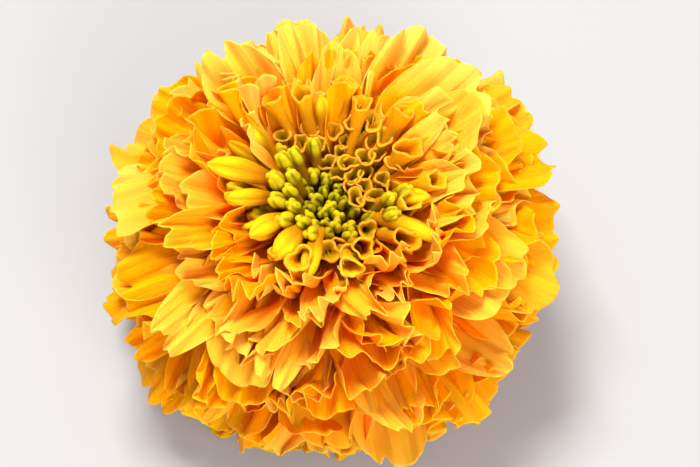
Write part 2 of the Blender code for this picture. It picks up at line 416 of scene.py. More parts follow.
def capped(grid, v, fold_shading):
    """A solid body from rings of points, closed at both ends, with v for each ring."""
    rows, columns = grid.shape[:2]
    points = np.concatenate([grid.reshape(-1, 3), grid[[0, -1]].mean(axis=1)])
    count = rows * columns
    j = np.arange(columns)
    following = (j + 1) % columns
    foot = np.stack([following, j, np.full(columns, count)], axis=-1)
    last = (rows - 1) * columns
    tip = np.stack([last + j, last + following, np.full(columns, count + 1)], axis=-1)
    u = np.append(np.tile(np.linspace(-1, 1, columns, endpoint=False), rows), [0, 0])
    v = np.append(np.repeat(v[:, 0], columns), [0, 1])
    faces = quads(rows, columns, periodic=True).tolist() + foot.tolist() + tip.tolist()
    return closed(points, faces, u, v, np.zeros(len(points)), np.append(fold_shading.ravel(), [0, 0]))


def inside(points):
    """How much painted shade a point gets for lying far within the head: 0 at the outside of the
    head and beyond, and 1 well within it.
    """
    across = np.hypot(points[:, 0], points[:, 1]) / HEAD_RADIUS
    upward = (points[:, 2] - HEAD_MIDDLE) / HEAD_RISE
    return ramp(np.hypot(across, upward), 1.0, DEEP_INSIDE)


def add_object(name, data):
    """A new object in the scene."""
    made = bpy.data.objects.new(name, data)
    bpy.context.scene.collection.objects.link(made)
    return made


def make_piece(name, body, material, ripe=1.0, tone_and_painted_light=0.0):
    """A mesh object from a closed body, with the attributes that its material reads."""
    points = body["points"]
    mesh = bpy.data.meshes.new(name)
    mesh.from_pydata((points * MM).tolist(), [], body["faces"])
    numbers = {"along": body["v"], "rim": body["rim"], "fold_shading": body["fold_shading"]}
    numbers["inside"] = inside(points)
    numbers["ripe"] = np.full(len(points), ripe)
    numbers["tone_and_painted_light"] = np.full(len(points), tone_and_painted_light)
    for key, values in numbers.items():
        layer = mesh.attributes.new(key, "FLOAT", "POINT")
        layer.data.foreach_set("value", values.astype(np.float32))
    corners = np.empty(len(mesh.loops), dtype=np.int32)
    mesh.loops.foreach_get("vertex_index", corners)
    uv = mesh.uv_layers.new(name="petal")
    uv.data.foreach_set("uv", np.stack([body["u"], body["v"]], axis=1)[corners].ravel())
    mesh.materials.append(material)
    mesh.shade_smooth()
    obj = add_object(name, mesh)
    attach(obj, "root")
    return obj


# ---------------- forms of ray florets


def ray_form(pick, kind, size):
    """The numbers of one petal's shape. Sizes are in millimetres and angles in radians."""
    form = {
        "claw": 1.6,
        "claw_roll": math.radians(150),
        "opens": pick(0.26, 0.40),
        "open": pick(0.66, 0.86),
        "unrolled": pick(0.70, 0.95),
        "pleated": pick(0.80, 1.05),
        "half": size * pick(0.85, 1.15),
        "taper": pick(-0.12, 0.14),
        "roll": math.radians(pick(10, 50)),
        "pleat": pick(0.35, 0.80),
        "folds": pick(1.4, 2.8),
        "phase": pick(0, math.tau),
        "fine_pleat": pick(0.20, 0.60),
        "fine_folds": pick(3.4, 5.8),
        "fine_phase": pick(0, math.tau),
        "eases": 0.5,
        "drift": pick(-2.0, 2.0),
        "edge": pick(-0.9, 1.1),
        "centre": 1.0,
        "bends": pick(0.60, 0.80),
        "skew": pick(-0.8, 0.8),
        "ruffle": pick(0.9, 2.4),
        "ruffles": pick(1.6, 4.0),
        "ruffle_phase": pick(0, math.tau),
        "bulge": pick(0.4, 1.3),
        "bulges": pick(0.8, 2.2),
        "swells": pick(9, 17),
        "round": pick(0.22, 0.38),
        "notch": max(0, pick(-0.05, 0.07)),
        "notch_at": pick(-0.4, 0.4),
        "lobe": pick(0.010, 0.038),
        "lobes": pick(2, 4.5),
        "lobe_phase": pick(0, math.tau),
    }
    if kind == "channel":
        form.update(
            roll=math.radians(pick(75, 115)),
            pleat=pick(0.25, 0.5),
            edge=pick(-2.0, -0.6),
        )
    if kind == "frill":
        form.update(
            roll=math.radians(pick(0, 40)),
            pleat=pick(0.75, 1.15),
            fine_pleat=pick(0.45, 0.8),
            half=form["half"] * 1.15,
        )
    if kind == "heart":
        form.update(
            roll=math.radians(pick(5, 50)),
            pleat=pick(0.2, 0.6),
            fine_pleat=pick(0.15, 0.50),
            lobes=2,
            lobe_phase=math.pi / 2,
            lobe=pick(0.04, 0.10),
            half=form["half"] * 0.74,
        )
    if kind == "horn":
        form.update(
            roll=math.radians(pick(120, 150)),
            pleat=pick(0.1, 0.3),
            fine_pleat=pick(0.1, 0.3),
            opens=pick(0.35, 0.5),
            open=1.0,
            unrolled=1.0,
            edge=pick(-2.4, -1.2),
            centre=0.0,
        )
    return form


# ---------------- materials


def node(tree, kind, **settings):
    """A new shader node with these settings."""
    made = tree.nodes.new(kind)
    for key, value in settings.items():
        setattr(made, key, value)
    return made


def feed(tree, socket, value):
    """Sets a socket to a number or a colour, or links it."""
    if isinstance(value, (int, float)):
        socket.default_value = value
    elif isinstance(value, tuple):
        socket.default_value = (*value, 1)
    else:
        tree.links.new(value, socket)


def attribute(tree, name):
    return node(tree, "ShaderNodeAttribute", attribute_name=name).outputs["Fac"]


def colour_ramp(tree, fac, stops):
    """A ramp through stops, each a position and a colour."""
    made = node(tree, "ShaderNodeValToRGB")
    elements = made.color_ramp.elements
    while len(elements) < len(stops):
        elements.new(0.5)
    for element, (position, colour) in zip(elements, stops):
        element.position = position
        element.color = (*colour, 1)
    tree.links.new(fac, made.inputs["Fac"])
    return made.outputs["Color"]


def mix(tree, fac, a, b, blend="MIX"):
    made = node(tree, "ShaderNodeMix", data_type="RGBA", blend_type=blend)
    colours = [i for i in made.inputs if i.type == "RGBA"]
    feed(tree, made.inputs["Factor"], fac)
    feed(tree, colours[0], a)
    feed(tree, colours[1], b)
    return next(o for o in made.outputs if o.type == "RGBA")


def calc(tree, operation, a, b=0.0, c=0.0, clamp=False):
    made = node(tree, "ShaderNodeMath", operation=operation, use_clamp=clamp)
    for socket, value in zip(made.inputs, (a, b, c)):
        feed(tree, socket, value)
    return made.outputs[0]


def noise(tree, vector, scale, detail=2.0):
    made = node(tree, "ShaderNodeTexNoise")
    made.inputs["Scale"].default_value = scale
    made.inputs["Detail"].default_value = detail
    tree.links.new(vector, made.inputs["Vector"])
    return made.outputs["Fac"]


def stretched(tree, vector, scale):
    made = node(tree, "ShaderNodeMapping")
    made.inputs["Scale"].default_value = scale
    tree.links.new(vector, made.inputs["Vector"])
    return made.outputs["Vector"]


def new_material(name):
    """A material with its node tree and its Principled shader."""
    made = bpy.data.materials.new(name)
    made.use_nodes = True
    return made, made.node_tree, made.node_tree.nodes["Principled BSDF"]


def bumped(tree, shader, height, strength, distance):
    bump = node(tree, "ShaderNodeBump")
    bump.inputs["Strength"].default_value = strength
    bump.inputs["Distance"].default_value = distance
    tree.links.new(height, bump.inputs["Height"])
    tree.links.new(bump.outputs["Normal"], shader.inputs["Normal"])


# Shares of the darker colour along a petal's veins and in its patches.
VEIN_SHARE = 0.36
PATCH_SHARE = 0.16


def petal_material(name, claw, inner, deep_tone_and_groove_shade, light, tip, rim_and_edge_light_colour, rim_share):
    """A petal: veined along it, darker in its claw, with painted shade in its grooves and painted
    light on its crests, and turning to its tip colour at its tip.

    inner is a painted shade far within the head. claw is partly the claw's own colour and partly
    painted shade down among the petals and in a tube's throat. The rays' tip colour is a painted
    highlight. A young floret is olive and lime instead, the olive also its painted groove shade.
    """
    made, tree, shader = new_material(name)
    uv = node(tree, "ShaderNodeUVMap", uv_map="petal").outputs["UV"]
    place = node(tree, "ShaderNodeTexCoord").outputs["Object"]
    veins = noise(tree, stretched(tree, uv, (13.0, 1.1, 1.0)), 1.6, 3.0)
    grain = noise(tree, place, 2600.0)
    blotch = noise(tree, place, 170.0, 3.0)

    # Hue at random, with painted light and shade from where the petal sits.
    tone_and_painted_light = calc(tree, "MULTIPLY_ADD", attribute(tree, "tone_and_painted_light"), 0.45, 0.55)
    # Painted light on the crests of the folds and painted shade in their grooves.
    tone_and_painted_light = calc(tree, "MULTIPLY_ADD", attribute(tree, "fold_shading"), 0.55, tone_and_painted_light, clamp=True)
    limb = mix(tree, tone_and_painted_light, deep_tone_and_groove_shade, light)
    young_limb = mix(tree, tone_and_painted_light, OLIVE, LIME)
    along = attribute(tree, "along")
    out_of_claw = calc(tree, "MULTIPLY_ADD", along, 2.0, -0.5, clamp=True)
    body = mix(tree, out_of_claw, claw, limb)
    # Painted shade: far within the head the colour turns towards inner.
    body = mix(tree, calc(tree, "MULTIPLY", attribute(tree, "inside"), 0.85), body, inner)
    # Painted highlight: towards the tip the colour turns to tip, more so on petals of a lighter
    # hue.
    to_tip_highlight = calc(tree, "MULTIPLY_ADD", along, 3.6, -2.6, clamp=True)
    painted_light_share = calc(tree, "MULTIPLY_ADD", attribute(tree, "tone_and_painted_light"), 0.9, 0.05, clamp=True)
    body = mix(tree, calc(tree, "MULTIPLY", to_tip_highlight, painted_light_share), body, tip)
    young = calc(tree, "SUBTRACT", 1.0, attribute(tree, "ripe"), clamp=True)
    body = mix(tree, young, body, mix(tree, out_of_claw, claw, young_limb))
    darker = mix(tree, 1.0, body, (1.0, 0.62, 0.35), "MULTIPLY")
    vein = calc(tree, "MULTIPLY_ADD", veins, 2.2, -0.7, clamp=True)
    body = mix(tree, calc(tree, "MULTIPLY", vein, VEIN_SHARE), body, darker)
    patch = calc(tree, "MULTIPLY_ADD", blotch, 2.0, -0.6, clamp=True)
    body = mix(tree, calc(tree, "MULTIPLY", patch, PATCH_SHARE), body, darker)
    # The rim: partly the margin's own pale colour and partly a painted highlight where edges catch
    # light.
    body = mix(tree, calc(tree, "MULTIPLY", attribute(tree, "rim"), rim_share), body, rim_and_edge_light_colour)
    tree.links.new(body, shader.inputs["Base Color"])

    bumped(tree, shader, calc(tree, "MULTIPLY_ADD", grain, 0.30, veins), 0.5, 0.0005)
    rough = calc(tree, "MULTIPLY_ADD", grain, 0.20, 0.36)
    tree.links.new(rough, shader.inputs["Roughness"])
    shader.inputs["Subsurface Weight"].default_value = 0.7
    shader.inputs["Subsurface Radius"].default_value = (1.0, 0.35, 0.03)
    shader.inputs["Subsurface Scale"].default_value = 0.0007
    shader.inputs["Specular IOR Level"].default_value = 0.16
    shader.inputs["Specular Tint"].default_value = (1.0, 0.75, 0.15, 1)
    return made


# Oil glands of the cup: how many per metre, and their size as a share of the space each has.
GLAND_SCALE = 420
GLAND_SIZE = 0.17


def plant_material(name, light, dark, scale, roughness, gland_share=0.0):
    """Green tissue with fine lengthwise streaks, and a share of dark oil glands."""
    made, tree, shader = new_material(name)
    place = node(tree, "ShaderNodeTexCoord").outputs["Object"]
    streaks = noise(tree, stretched(tree, place, (1.0, 1.0, 0.18)), scale, 4.0)
    glands = node(tree, "ShaderNodeTexVoronoi")
    glands.inputs["Scale"].default_value = GLAND_SCALE
    tree.links.new(stretched(tree, place, (1.0, 1.0, 0.45)), glands.inputs["Vector"])
    gland = calc(tree, "LESS_THAN", glands.outputs["Distance"], GLAND_SIZE)
    tissue = colour_ramp(tree, streaks, ((0.3, dark), (0.7, light)))
    tissue = mix(tree, calc(tree, "MULTIPLY", gland, gland_share), tissue, GLAND)
    tree.links.new(tissue, shader.inputs["Base Color"])
    bumped(tree, shader, streaks, 0.4, 0.0003)
    rough = calc(tree, "MULTIPLY_ADD", streaks, 0.2, roughness)
    tree.links.new(rough, shader.inputs["Roughness"])
    shader.inputs["Subsurface Weight"].default_value = 0.25
    shader.inputs["Subsurface Radius"].default_value = (0.5, 1.0, 0.3)
    shader.inputs["Subsurface Scale"].default_value = 0.0008
    return made


GLAND = (0.10, 0.055, 0.01)
PEACH = (0.86, 0.36, 0.045)
# OLIVE is the darker hue of young florets and also the painted shade in their grooves.
OLIVE = (0.10, 0.10, 0.002)
LIME = (0.60, 0.57, 0.012)
# In the petal colours, claw and inner also stand for painted shade among the petals and in the
# tubes' throats, the darker limb colour for painted shade in grooves, the lighter one partly for
# painted light on crests, and the rays' tip colour is a painted highlight.
ray_material = petal_material(
    "ray_petal_finish",
    claw=(0.92, 0.24, 0.0002),
    inner=(0.97, 0.26, 0.0002),
    deep_tone_and_groove_shade=(0.98, 0.34, 0.0002),
    light=(0.98, 0.455, 0.001),
    tip=(0.99, 0.64, 0.12),
    rim_and_edge_light_colour=(0.98, 0.60, 0.06),
    rim_share=0.35,
)
quill_material = petal_material(
    "quilled_petal_finish",
    claw=(0.50, 0.20, 0.003),
    inner=(0.60, 0.26, 0.003),
    deep_tone_and_groove_shade=(0.88, 0.33, 0.002),
    light=(0.96, 0.58, 0.006),
    tip=(0.95, 0.55, 0.015),
    rim_and_edge_light_colour=PEACH,
    rim_share=0.4,
)
disc_material = petal_material(
    "disc_floret_finish",
    claw=(0.26, 0.13, 0.002),
    inner=(0.46, 0.28, 0.003),
    deep_tone_and_groove_shade=(0.64, 0.34, 0.003),
    light=(0.82, 0.56, 0.006),
    tip=(0.82, 0.44, 0.01),
    rim_and_edge_light_colour=PEACH,
    rim_share=0.5,
)


cup_material = plant_material(
    "involucre_finish",
    light=(0.20, 0.33, 0.07),
    dark=(0.09, 0.18, 0.035),
    scale=900,
    roughness=0.45,
    gland_share=0.8,
)
receptacle_material = plant_material(
    "receptacle_finish",
    light=(0.50, 0.55, 0.25),
    dark=(0.38, 0.44, 0.18),
    scale=700,
    roughness=0.55,
)
stalk_material = plant_material(
    "stalk_finish",
    light=(0.26, 0.40, 0.10),
    dark=(0.13, 0.24, 0.05),
    scale=900,
    roughness=0.45,
)


# ---------------- the rays

# A level is a whorl's number; halves lie between whorls. Rays of the levels 0, 0.5, 1 and so on.
RAYS = (36, 34, 36, 36, 36, 36, 36, 30, 27, 18)
KINDS = ("fan", "channel", "frill", "horn", "heart")
REGIONS = (
    # from and to, in degrees round the head; share of each kind; size; depth of the pleats; least
    # and most curl in mm; turn of the headings at the tips, in degrees
    (50, 135, (0.26, 0.08, 0.50, 0.02, 0.14), 0.84, 0.9, -3.0, 4.0, -4),
    (135, 168, (0.26, 0.10, 0.46, 0.02, 0.16), 0.84, 0.8, -4.0, 3.0, -4),
    (168, 212, (0.44, 0.05, 0.29, 0.00, 0.22), 0.96, 0.55, -3.5, 2.0, -3),
    (212, 252, (0.12, 0.06, 0.40, 0.00, 0.42), 0.82, 0.8, -3.0, 2.5, -4),
    (252, 325, (0.06, 0.12, 0.70, 0.03, 0.09), 0.78, 1.0, -1.5, 5.5, -16),
    (325, 410, (0.44, 0.06, 0.38, 0.02, 0.10), 0.98, 0.65, -4.0, 3.0, -4),
)

# Half the width of a petal, in mm, over the levels.
SIZE_LEVELS = (0, 3, 4, 5)
SIZES = (10.2, 9.6, 7.4, 5.4)

# How far petals stray: the heading of the tip, lean and twist of the petal, and azimuth, in
# degrees; level; foot radius in mm; and the share by which one between the CAD's is shorter.
HEADING_STRAY = (-16, 22)
LEAN = 9
TWIST = 30
AZIMUTH_STRAY = 5
LEVEL_STRAY = 0.3
FOOT_STRAY = 0.4
SHORTER = 0.09

# What makes a petal lighter or darker in colour: chance, and painted light and shade by its
# height,
# the back and the sides: lighter high up and at the back, darker at the sides and a little
# overall.
TONE_STRAY = 0.6
PALER_HIGH = 0.35
PALER_BEHIND = 0.26
DEEPER_BESIDE = 0.32
DEEPER = 0.04

# Where the head's outline swells or draws in: azimuth and half width in degrees, and the share of
# the radius by which it does so.
SWELLS = (
    (4, 11, -0.085),
    (33, 9, 0.05),
    (48, 8, 0.045),
    (87, 4, -0.04),
    (200, 6, -0.06),
    (215, 17, 0.06),
    (264, 16, -0.045),
    (307, 6, 0.04),
    (331, 6, -0.13),
)


def swell_at(azimuth, level):
    """The factor on a tip's radius. The upper whorls don't make the outline and keep theirs."""
    total = 0.0
    for turn, width, share in SWELLS:
        off = (math.degrees(azimuth) - turn + 180) % 360 - 180
        total += share * math.exp(-((off / width) ** 2))
    return 1 + total * (1 - ramp(level, 2.5, 4.0))


def region_at(azimuth):
    """The row of REGIONS that this azimuth lies in."""
    turn = (math.degrees(azimuth) - REGIONS[0][0]) % 360 + REGIONS[0][0]
    return next(region for region in REGIONS if turn < region[1])


def painted_light_tone(azimuth, place):
    """Painted light and shade: petals high up and at the back are painted lighter, and those low
    down and at the sides darker.
    """
    across, back = math.cos(azimuth), math.sin(azimuth)
    painted_light_share = PALER_HIGH * ramp(place[3], 15, 55) + PALER_BEHIND * max(0.0, back)
    return painted_light_share - DEEPER_BESIDE * abs(across) - DEEPER


def add_ray(title, line, form, tone_and_painted_light):
    """A petal along the line."""
    body = shell(petal_sheet(line, form), THICKNESS)
    piece = make_piece(title, body, ray_material, tone_and_painted_light=tone_and_painted_light)
    return piece


def make_ray(title, azimuth, place, level, chance):
    """A petal at a place, of the kind and size that its region and its level call for."""
    pick = chance.uniform
    place = list(place)
    place[2] *= swell_at(azimuth, level)
    place[5] += pick(*HEADING_STRAY)
    _, _, shares, scale, pleats, least_curl, most_curl, arrives_turn = region_at(azimuth)
    place[5] += arrives_turn
    size = scale * float(np.interp(level, SIZE_LEVELS, SIZES))
    form = ray_form(pick, chance.choice(KINDS, p=shares), size)
    form["curl"] = pick(least_curl, most_curl)
    form["pleat"] *= pleats
    form["eases"] = 1.1 - pleats
    lean = math.radians(pick(-LEAN, LEAN))
    twist = math.radians(chance.normal(0, TWIST)) * pleats
    line = spine(azimuth, place, lean=lean, twist=twist)
    # Random hue plus painted light and shade from where the petal sits.
    tone_and_painted_light = TONE_STRAY * pick(-1, 1) + painted_light_tone(azimuth, place)
    return add_ray(title, line, form, tone_and_painted_light)


def build_rays():
    """The rays of the CAD whorls, each in its place, and the rays between them."""
    number = 0
    for i, count in enumerate(RAYS):
        level = i / 2
        whorl = WHORLS[i // 2] if i % 2 == 0 else None
        share = count // PER_WHORL
        start = cad_seats[f"{whorl}_01"][0] if whorl else math.pi / count * (1 + 2 * level)
        for n in range(count):
            chance = np.random.default_rng([SEED, i, n])
            if whorl and n % share == 0:
                name = f"{whorl}_{n // share + 1:02d}"
                azimuth, seat = cad_seats[name]
                place = [*seat, LEAVES[i // 2], ARRIVES[i // 2]]
                piece = make_ray(f"petal_{name}", azimuth, place, level, chance)
                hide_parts(name)
                continue
            number += 1
            stray = chance.uniform(-AZIMUTH_STRAY, AZIMUTH_STRAY)
            azimuth = start + math.tau * n / count + math.radians(stray)
            stray = chance.uniform(-LEVEL_STRAY, LEVEL_STRAY)
            place = place_at(np.clip(level + stray, 0, 5))
            place[0] += chance.uniform(-FOOT_STRAY, FOOT_STRAY)
            shorter = chance.uniform(0.0, SHORTER)
            place[2] -= shorter * place[2]
            place[3] -= shorter * (place[3] - place[1])
            make_ray(f"petal_between_{number:03d}", azimuth, place, level, chance)


# Rays that stand out from the rest: azimuth in degrees, radius and height of the tip, heading
# there, half width of the sheet, roll in degrees, pleat, curl, twist in degrees, and hue, which
# also sets the painted light on the petal and its tip highlight. Each springs from the level whose
# tips are about as high as its own.
STANDING_OUT = (
    (14, 44.5, 46.0, 84, 10.5, 35, 0.35, -2.0, -12, -0.2),
    (34, 46.5, 37.0, 92, 9.0, 50, 0.50, 2.0, 12, 0.1),
    (38, 36.0, 57.5, 62, 10.5, 45, 0.40, -2.5, 14, 0.9),
    (24, 33.0, 58.0, 60, 9.5, 40, 0.50, 1.5, -20, 0.4),
    (58, 37.0, 57.0, 66, 9.0, 55, 0.55, -3.0, 22, 0.9),
    (77, 33.5, 56.5, 62, 8.0, 100, 0.40, -2.0, -15, 0.8),
    (101, 35.0, 56.0, 64, 8.5, 60, 0.60, -3.0, 25, 0.7),
    (128, 36.0, 57.0, 60, 9.5, 50, 0.45, 2.5, -20, 0.6),
    (171, 44.2, 39.5, 100, 6.5, 25, 0.25, -1.0, 10, 0.9),
    (287, 47.0, 22.0, 122, 9.0, 30, 0.70, 3.0, 15, 0.3),
    (308, 47.0, 24.0, 110, 8.5, 40, 0.60, 1.0, -20, 0.0),
    (341, 46.5, 38.0, 98, 10.0, 30, 0.45, -2.0, 10, 0.1),
)

# About how high the tips of the ray whorls are, outermost first.
TIP_HEIGHTS = (0.0, 16.5, 32.0, 48.0, 59.0)


def build_standing_out():
    for n, row in enumerate(STANDING_OUT):
        turn, tip_r, tip_z, arrives, half, roll, pleat, curl, twist, tone_and_painted_light = row
        chance = np.random.default_rng([SEED, STANDING_OUT_KIND, n])
        level = float(np.interp(tip_z, TIP_HEIGHTS, range(len(TIP_HEIGHTS))))
        place = place_from(level, tip_r, tip_z, LEAVES[3], arrives)
        form = ray_form(chance.uniform, "fan", half)
        form.update(half=half, roll=math.radians(roll), pleat=pleat, curl=curl)
        line = spine(math.radians(turn), place, twist=math.radians(twist))
        add_ray(f"petal_standing_out_{n + 1:02d}", line, form, tone_and_painted_light)


# ---------------- tubes and buds of the middle

# The levels of the feet of the florets round the disc.
CLUB_LEVEL = 4.7
QUILL_LEVEL = 4.8
FIST_LEVEL = 5.0


def swept(line, radius, turn, push):
    """Rings of points round a line: radius and push, forwards, over the rings and the turn."""
    points, side, inward = line
    forward = np.cross(side, inward)
    return (
        points[:, None, :]
        + side[:, None, :] * (radius * np.cos(turn))[..., None]
        + inward[:, None, :] * (radius * np.sin(turn))[..., None]
        + forward[:, None, :] * push[..., None]
    )


def distance_to_tip(points):
    """How far each point of a line is from its end, along the line, as a column."""
    steps = np.linalg.norm(np.diff(points, axis=0), axis=1)
    return np.append(np.cumsum(steps[::-1])[::-1], 0)[:, None]


def trumpet(line, chance, throat, mouth, depth, oblique=0.0):
    """A tube that flares into a wavy mouth, longer on its outer side by the length oblique."""
    pick = chance.uniform
    turn = around(TUBE_SIDES)

    def waves(count):
        return np.cos(count * turn + pick(0, 6.3))

    from_tip = distance_to_tip(line[0])
    flare = np.clip(1 - from_tip / depth, 0, 1)
    radius = throat + (mouth - throat) * flare**1.9
    folds = 0.07 * waves(5) + 0.11 * waves(3)
    squash = pick(0.05, 0.26) * waves(2)
    radius = radius * (1 + flare * folds + (0.4 + 0.6 * flare) * squash)
    wave = 0.24 * waves(4) + 0.34 * waves(2)
    push = flare**2 * (wave + oblique * (1 - np.sin(turn)) / 2)
    v = np.clip(1 - from_tip / (1.3 * depth), 0, 1)
    return tube_shell(swept(line, radius, turn, push), v, TUBE_WALL)


def fingers(turn, lift, places, sizes):
    """How far out some overlapping balls reach from the origin, in each direction."""
    heading = np.stack(
        [np.cos(lift) * np.cos(turn), np.cos(lift) * np.sin(turn), np.sin(lift) + 0 * turn]
    )
    toward = np.einsum("ki,irc->krc", places, heading)
    inside_ball = (sizes**2 - np.sum(places**2, axis=1))[:, None, None]
    return np.max(toward + np.sqrt(np.maximum(inside_ball + toward**2, 0)), axis=0)


def bud(line, chance, fat, head, lobes, narrows=0.25, dome=1.4):
    """A closed floret: a stalk that swells into a head of rounded lobes round a dimple.

    head is the head's length and fat its half width. The larger narrows is, up to 1, the more it
    tapers to its tip. dome stretches its lobes' ends.
    """
    pick = chance.uniform
    points = line[0]
    local = np.clip(1 - distance_to_tip(points) / head, 0, 1)
    local = np.concatenate([local, np.ones((DOME_RINGS, 1))])
    rising = np.linspace(0, math.pi / 2, DOME_RINGS + 1)[1:]
    lift = np.concatenate([np.zeros(len(points)), rising])
    lift = np.minimum(lift, 0.49 * math.pi)[:, None]
    line = [np.concatenate([part, np.repeat(part[-1:], DOME_RINGS, axis=0)]) for part in line]
    phase = pick(0, math.tau)
    at = [phase + math.tau * (k + pick(-0.08, 0.08)) / lobes for k in range(lobes)]
    out = LOBE_OUT[lobes]
    places = [(out * math.cos(a), out * math.sin(a), pick(-0.12, 0.12)) for a in at]
    places = np.array(places + [CORE])
    sizes = np.array([1 - out] * lobes + [CORE_SIZE])
    turn = around(TUBE_SIDES)
    outside = fingers(turn + pick(-0.8, 0.8) * local, lift, places, sizes)
    swell = ramp(local, -0.35, 0.62)
    stalk = STALK_HALF / fat
    closing = np.sqrt(1 - narrows * np.clip((local - 0.4) / 0.6, 0, 1) ** 2.4)
    radius = stalk + (closing - stalk) * swell
    radius = fat * radius * (1 + (outside - 1) * swell) * np.cos(lift)
    push = dome * fat * closing * outside * np.sin(lift)
    # Painted shade in the grooves between the lobes and painted light on their crests, with less
    # light towards the top of the dome.
    fold_shading = 5.0 * outside / outside.max(axis=1, keepdims=True) - 4.0
    fold_shading = np.clip(fold_shading - 0.5 * ramp(lift, 0.9, 1.5), -1, 1)
    return capped(swept(line, radius, turn, push), local, fold_shading)


def head_rows(length, head, rows):
    """Shares of a line of about this length: three in its stalk, and rows in its head."""
    low = 1 - head / length
    in_head = low + (1 - low) * np.linspace(0, 1, rows) ** 0.6
    return np.concatenate([np.linspace(0, low, 4)[:-1], in_head])


# Closed florets of the disc's edge, like fists: azimuth in degrees, radius and height of the tip,
# heading there, half width, and lobes. Lengths are in mm.
FISTS = (
    (112, 8.2, 55.6, 14, 1.55, 3),
    (141, 8.8, 55.9, 20, 1.60, 3),
    (157, 9.8, 56.8, 22, 1.75, 3),
    (173, 7.4, 55.8, 16, 1.50, 3),
    (184, 10.6, 57.2, 22, 1.80, 4),
    (197, 8.2, 55.9, 18, 1.50, 3),
    (206, 11.4, 56.8, 26, 1.75, 3),
    (219, 9.2, 56.2, 18, 1.50, 4),
    (226, 12.6, 56.4, 30, 1.80, 3),
    (240, 10.6, 56.0, 22, 1.55, 3),
    (253, 12.4, 56.0, 26, 1.65, 3),
    (326, 14.6, 57.2, 26, 1.60, 4),
    (338, 12.4, 57.2, 18, 1.50, 3),
    (347, 14.8, 57.8, 24, 1.45, 3),
)
# No bud or trumpet of the disc stands nearer than this to a fist.
FIST_ROOM = 1.7

# The disc's buds end about this far under the top of the CAD's, and stand this far up in it.
UNDER_TOP = 1.0
FOOT_ABOVE = 0.5

# The disc's youngest part lies this far in front of the axis. Nothing nearer to it than OPENS_FROM
# is open, and OPENS_OVER is the length over which more and more florets are. A trumpet is taller
# than a bud by its rise.
YOUNGEST_AT = 3.0
OPENS_FROM = 4
OPENS_OVER = 9.0
TRUMPET_RISE = 1.2


def disc_radii():
    """Distances of the disc's florets from the axis, for cells that grow outwards."""
    r = np.linspace(0, DISC_RADIUS, 400)
    cell = BUD_CELL + (TRUMPET_CELL - BUD_CELL) * ramp(r, BUDS_WITHIN, TRUMPETS_FROM)
    count = np.cumsum(math.tau * r / cell) * (r[1] - r[0])
    wanted = np.arange(0.5, count[-1])
    return np.interp(wanted, count, r)


def build_disc():
    """Closed buds on the left and in the middle, and open trumpets on the other sides."""
    fist_places = []
    for turn, radius, *_ in FISTS:
        angle = math.radians(turn)
        fist_places.append((radius * math.cos(angle), radius * math.sin(angle)))
    low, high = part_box("disc_florets")
    top = high[2] / MM - UNDER_TOP
    foot_z = low[2] / MM + FOOT_ABOVE
    buds = 0
    trumpets = 0
    for i, r in enumerate(disc_radii()):
        chance = np.random.default_rng([SEED, DISC_KIND, i])
        pick = chance.uniform
        azimuth = i * GOLDEN_ANGLE
        x, y = r * math.cos(azimuth), r * math.sin(azimuth)
        share = r / DISC_RADIUS
        behind = y + YOUNGEST_AT
        opens = ramp((x + y + YOUNGEST_AT) / OPENS_OVER, -0.1, 1.0)
        opens = opens + ramp(-behind / OPENS_OVER, 0.55, 1.1)
        is_open = math.hypot(x, behind) > OPENS_FROM and pick(0, 1) < opens
        if min(math.dist((x, y), at) for at in fist_places) < FIST_ROOM:
            continue
        height = top - DISC_HOLLOW * (1 - share**2) + pick(-1.0, 0.7)
        outwards = 24 * share * (1 - 1.5 * max(0.0, math.sin(azimuth)))
        faces = 4 + outwards + pick(-10, 10)
        place = [0.25 + 2.2 * share, foot_z, r, height, 4, faces]
        lean = math.radians(pick(-6, 6))
        if is_open:
            trumpets += 1
            place[3] += TRUMPET_RISE
            line = spine(azimuth, place, lean=lean, shares=head_rows(30, 6, 12))
            mouth = pick(1.35, 1.9) * (0.85 + 0.3 * share)
            body = trumpet(line, chance, pick(0.5, 0.75), mouth, pick(2.0, 3.2))
            title = f"open_floret_{trumpets:02d}"
        else:
            buds += 1
            fat = 1.35 + 0.4 * share**2 + pick(-0.2, 0.25)
            head = pick(1.6, 2.6) * fat
            line = spine(azimuth, place, lean=lean, shares=head_rows(30, 5, 10))
            body = bud(line, chance, fat, head, int(chance.choice([3, 3, 4])))
            title = f"closed_floret_{buds:02d}"
        ripe = 0.5 * share**1.5 + (0.68 if is_open else 0)
        piece = make_piece(title, body, disc_material, min(ripe, 1), pick(-1, 1))
        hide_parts("disc_florets")


def build_fists():
    for n, (turn, tip_r, tip_z, arrives, fat, lobes) in enumerate(FISTS):
        chance = np.random.default_rng([SEED, FIST_KIND, n])
        place = place_from(FIST_LEVEL, tip_r, tip_z, LEAVES[5], arrives)
        line = spine(math.radians(turn), place, shares=head_rows(34, 8, 12))
        body = bud(line, chance, fat, 2.6 * fat, lobes, narrows=0.35, dome=1.2)
        ripe = chance.uniform(0.0, 0.3)
        piece = make_piece(f"fist_floret_{n + 1:02d}", body, disc_material, ripe, 0.5)


# Florets of the disc's edge that have grown fat but not opened: azimuth in degrees, radius and
# height of the tip, heading there, half width, length of the head, and lobes. Lengths are in mm.
CLUBS = (
    (176, 22.5, 58.0, 82, 2.5, 12.0, 3),
    (195, 19.5, 57.5, 70, 2.0, 9.0, 3),
    (221, 19.0, 56.5, 78, 2.4, 8.0, 4),
    (240, 19.5, 56.0, 84, 2.6, 8.5, 3),
    (259, 20.5, 55.5, 88, 2.1, 9.0, 3),
    (326, 24.5, 56.5, 86, 2.7, 14.0, 2),
    (345, 19.0, 57.5, 60, 1.8, 8.5, 3),
    (96, 16.0, 58.5, 25, 1.6, 6.0, 3),
)


